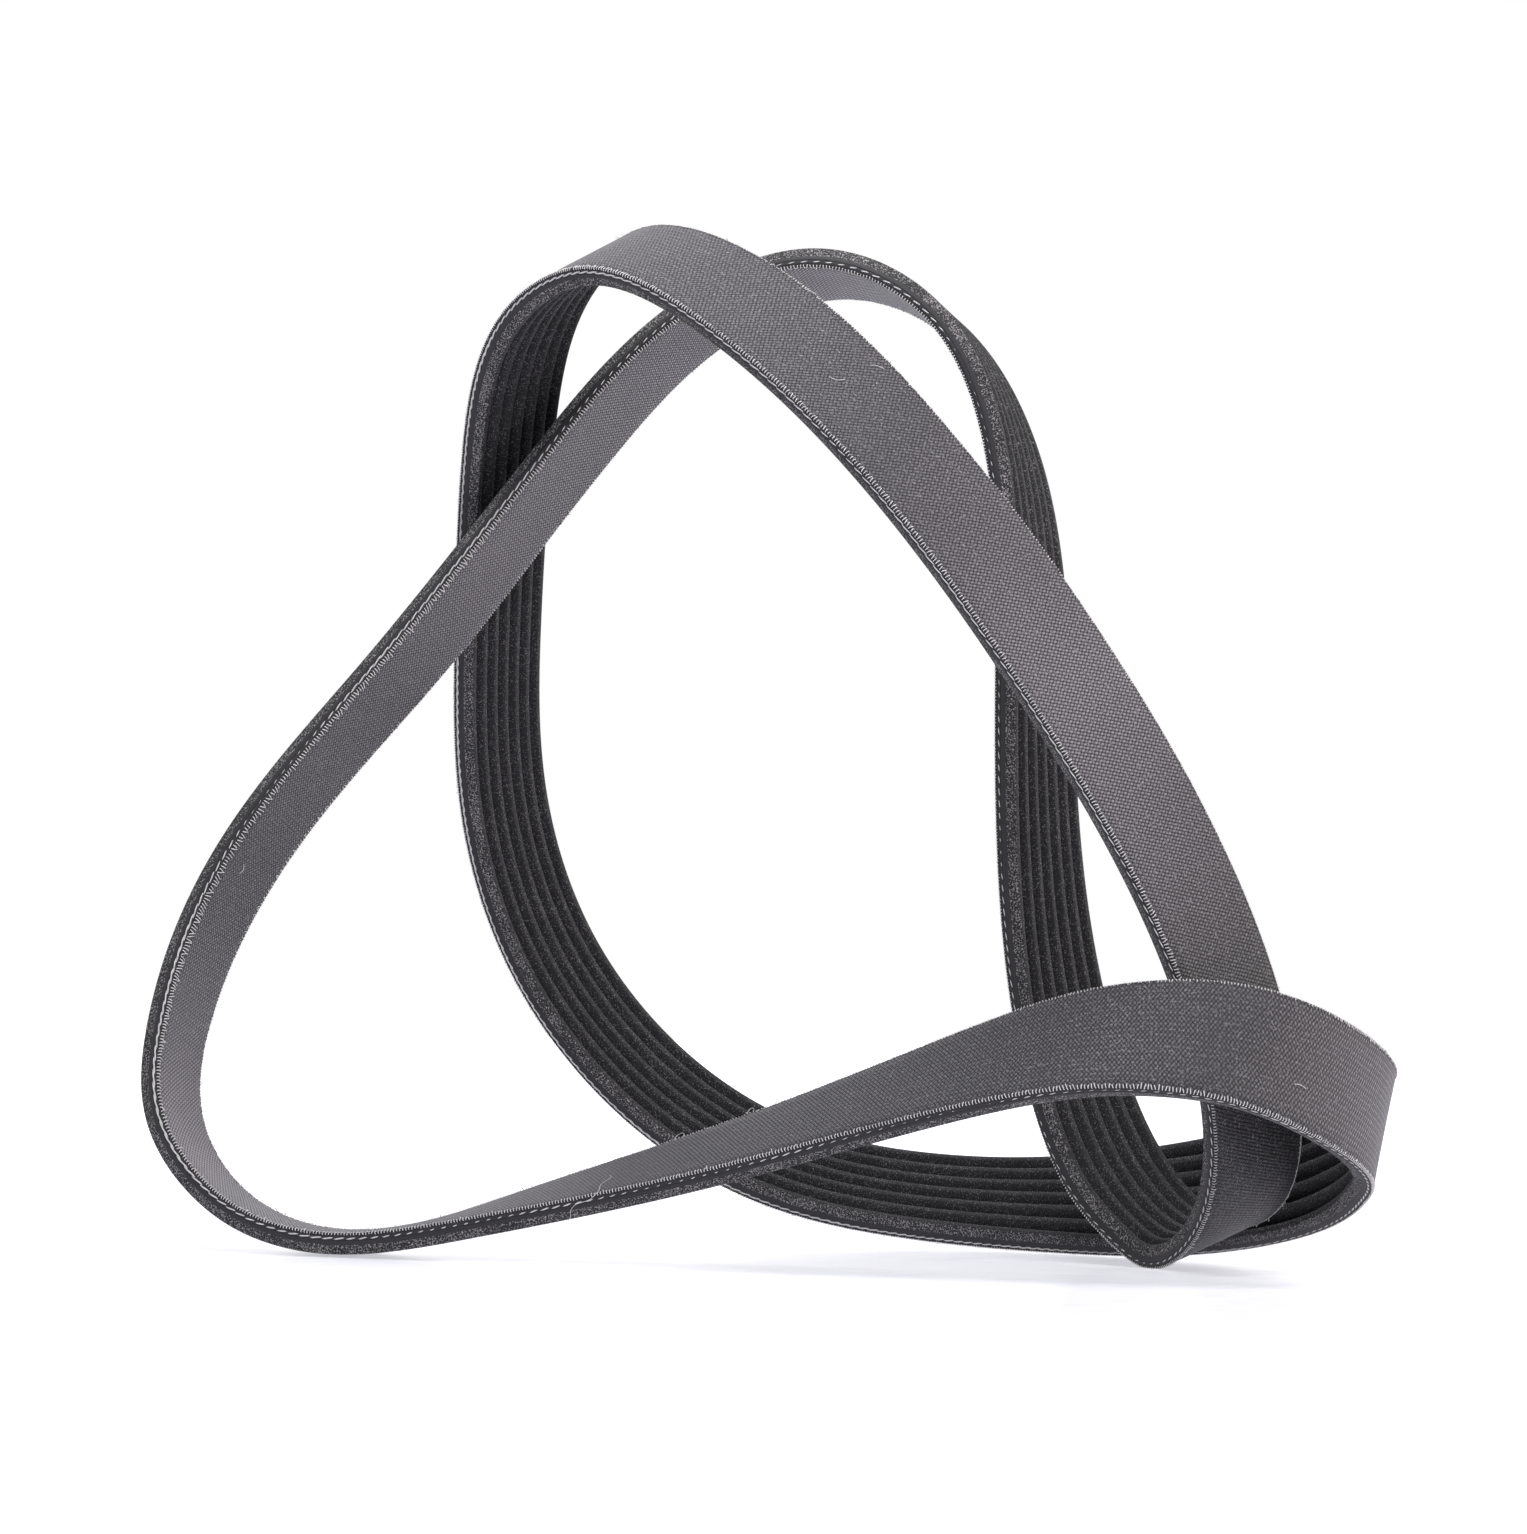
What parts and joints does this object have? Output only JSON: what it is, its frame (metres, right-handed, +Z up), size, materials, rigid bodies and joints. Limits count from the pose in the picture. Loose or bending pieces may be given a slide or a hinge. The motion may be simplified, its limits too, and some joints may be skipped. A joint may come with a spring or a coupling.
{
  "type": "serpentine belt",
  "caption": "Endless poly-V drive belt with lengthwise ribs and a woven back, uncoiled and standing in twisted loops.",
  "frame": {"origin": "bottom centre of the bounding box, on the surface the belt stands on", "axes": "+X to the right across the front, along the longest extent; +Y away from the front; +Z up"},
  "size_m": [0.2434, 0.1846, 0.2019],
  "materials": {
    "belt_rubber": "matte"
  },
  "bodies": {
    "root": {"serpentine_belt": "belt_rubber"}
  },
  "joints": []
}
